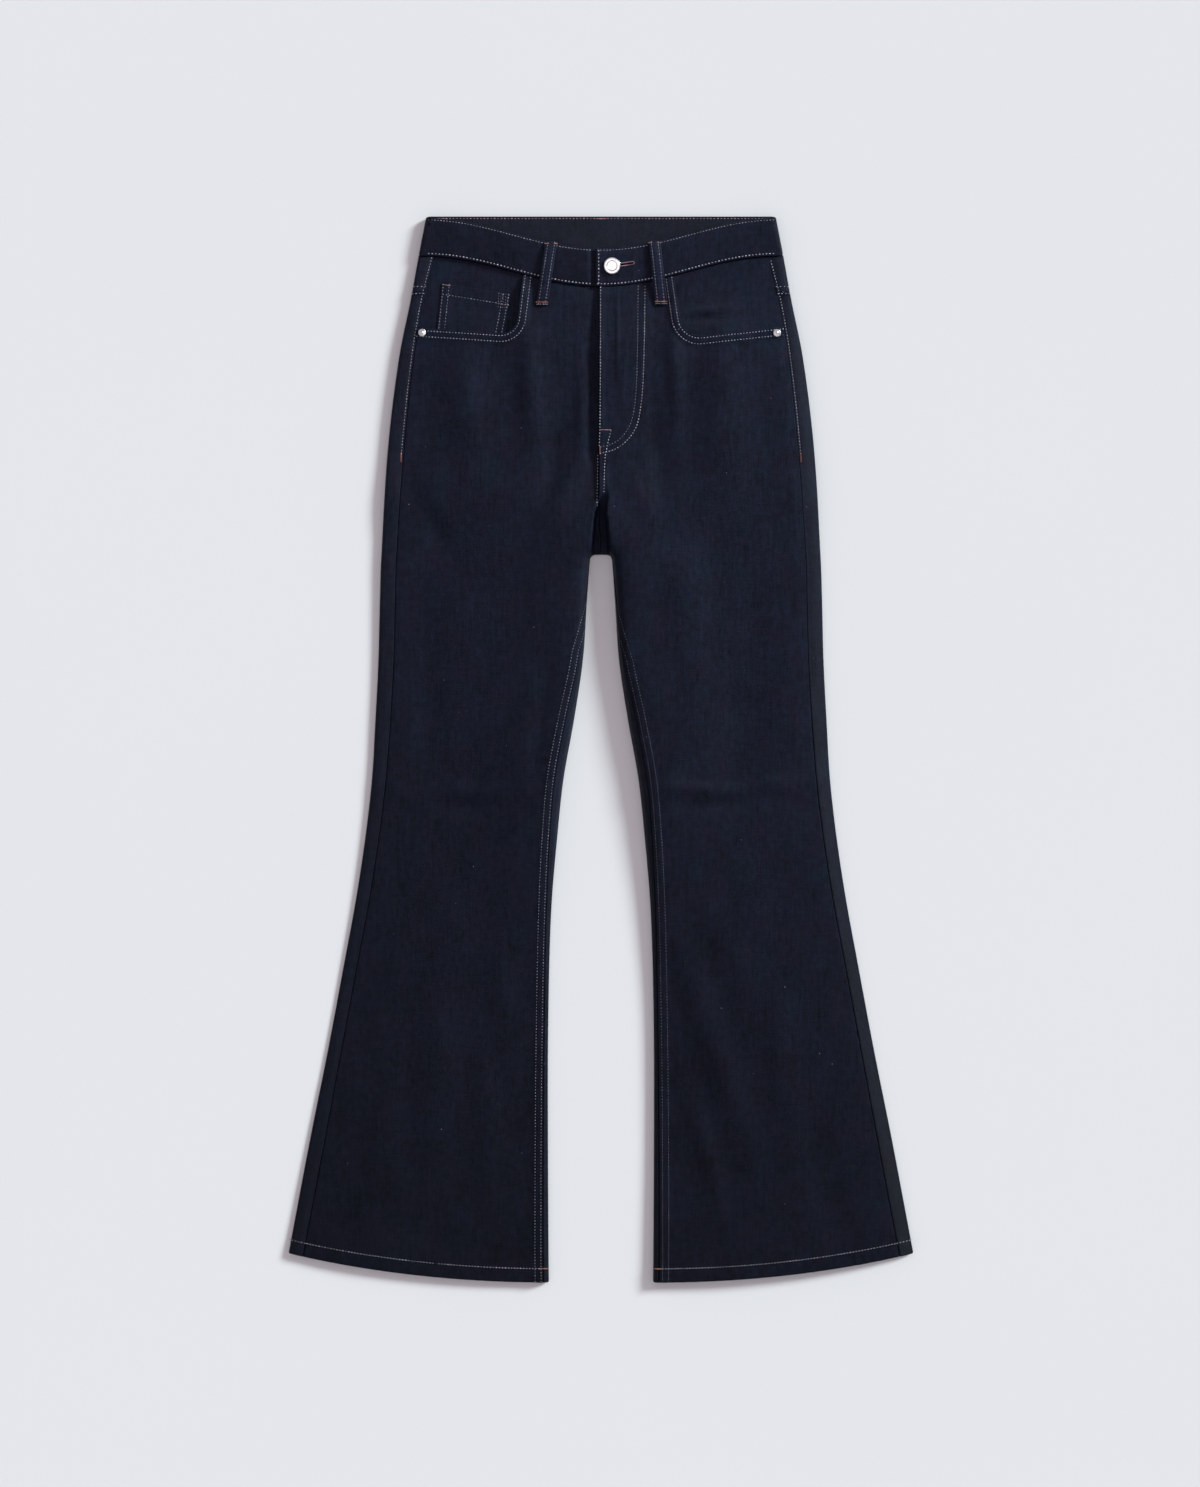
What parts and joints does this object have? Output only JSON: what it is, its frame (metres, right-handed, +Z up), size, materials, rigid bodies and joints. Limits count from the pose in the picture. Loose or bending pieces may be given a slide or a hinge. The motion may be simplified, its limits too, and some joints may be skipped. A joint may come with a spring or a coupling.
{
  "type": "bootcut jeans laid flat",
  "caption": "High-waisted dark indigo bootcut jeans with a buttoned fly and scooped front pockets, laid flat on their back with the legs straight.",
  "frame": {"origin": "middle of the surface that the jeans lie on, halfway between the two hems' outer folds and between waist and hem", "axes": "+X to the wearer's left, +Y up to the waist, +Z up out of the front"},
  "size_m": [0.6392, 1.09, 0.0141],
  "materials": {
    "denim": "dark indigo twill, unwashed, matt with a soft sheen",
    "band_denim": "dark indigo twill in two layers, topstitched",
    "zip_tape": "woven polyester tape",
    "metal": "bright nickel plate, softly polished"
  },
  "bodies": {
    "root": {"front_panel_right": "denim", "front_panel_left": "denim", "back_panel_right": "denim", "back_panel_left": "denim", "back_yoke_right": "denim", "back_yoke_left": "denim", "back_pocket_right": "denim", "back_pocket_left": "denim", "pocket_facing_right": "denim", "pocket_facing_left": "denim", "coin_pocket": "denim", "fly_shield": "denim", "waistband": "band_denim", "belt_loop_front_right": "band_denim", "belt_loop_front_left": "band_denim", "belt_loop_back_right": "band_denim", "belt_loop_back_left": "band_denim", "belt_loop_centre_back": "band_denim", "zip": "zip_tape", "button": "metal", "rivet_right": "metal", "rivet_left": "metal"}
  },
  "joints": []
}
